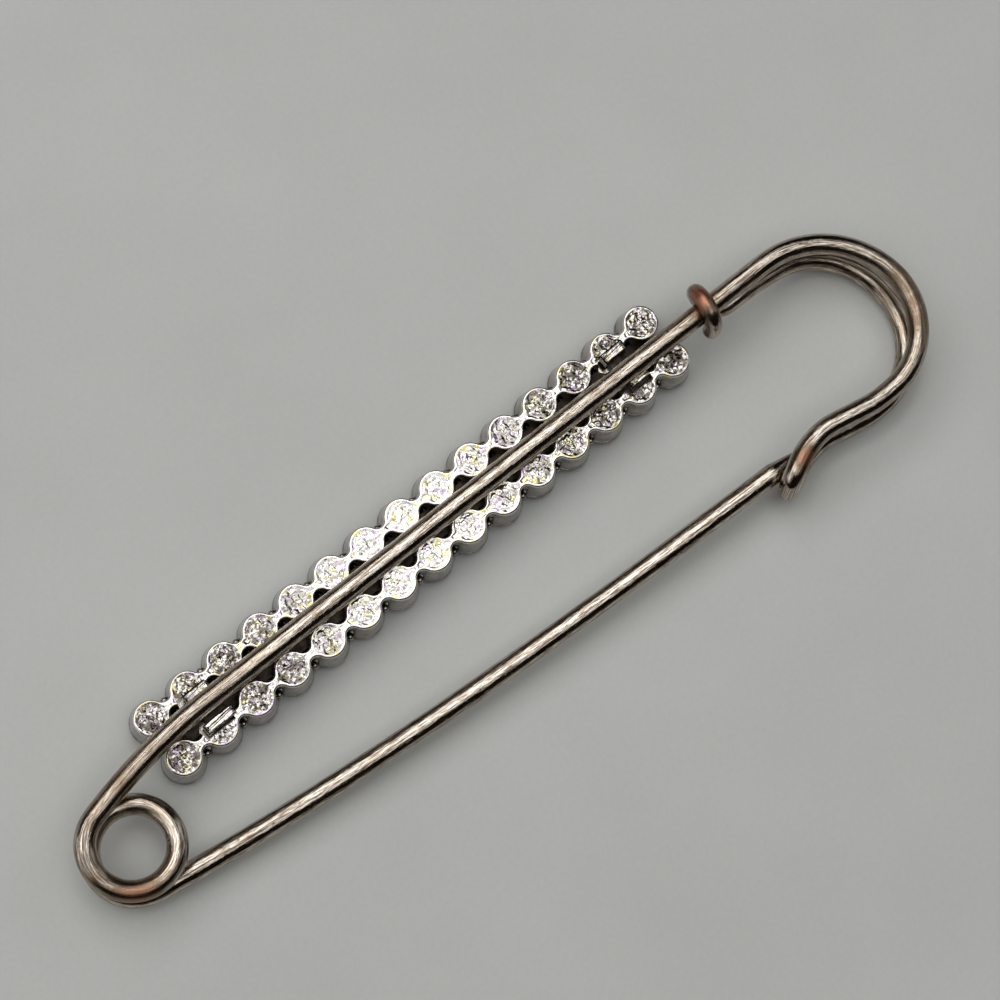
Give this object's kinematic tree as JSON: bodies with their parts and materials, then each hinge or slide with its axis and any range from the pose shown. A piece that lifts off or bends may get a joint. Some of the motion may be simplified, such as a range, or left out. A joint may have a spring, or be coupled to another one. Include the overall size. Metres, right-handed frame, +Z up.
{
  "type": "safety pin brooch",
  "caption": "Safety pin brooch of bent plated wire with a spring coil and a folded catch, and a cast bar of stone-set cups along its spine.",
  "frame": {"origin": "middle of the box on the floor, with the brooch lying on its front", "axes": "+X from the spring coil to the round head, +Y from the pin arm to the spine, +Z up out of the back"},
  "size_m": [0.0772, 0.0196, 0.0066],
  "materials": {
    "wire": "polished, worn plating",
    "casting": "polished casting",
    "stone": "clear, cut"
  },
  "bodies": {
    "frame": {"frame_wire": "wire", "spring_coil": "wire", "setting": "casting", "stone_upper_01": "stone", "stone_upper_02": "stone", "stone_upper_03": "stone", "stone_upper_04": "stone", "stone_upper_05": "stone", "stone_upper_06": "stone", "stone_upper_07": "stone", "stone_upper_08": "stone", "stone_upper_09": "stone", "stone_upper_10": "stone", "stone_upper_11": "stone", "stone_upper_12": "stone", "stone_upper_13": "stone", "stone_upper_14": "stone", "stone_upper_15": "stone", "stone_lower_01": "stone", "stone_lower_02": "stone", "stone_lower_03": "stone", "stone_lower_04": "stone", "stone_lower_05": "stone", "stone_lower_06": "stone", "stone_lower_07": "stone", "stone_lower_08": "stone", "stone_lower_09": "stone", "stone_lower_10": "stone", "stone_lower_11": "stone", "stone_lower_12": "stone", "stone_lower_13": "stone", "stone_lower_14": "stone", "stone_lower_15": "stone"},
    "pin": {"pin_arm": "wire"}
  },
  "joints": [
    {"name": "pin_swing", "type": "hinge", "parent": "frame", "child": "pin", "pos_m": [-0.0345, 0.00144, 0.0017], "axis": [0, 0, 1], "range_deg": [0, 8], "stiffness_Nm_per_rad": 0.2, "springref_deg": -17.19}
  ]
}
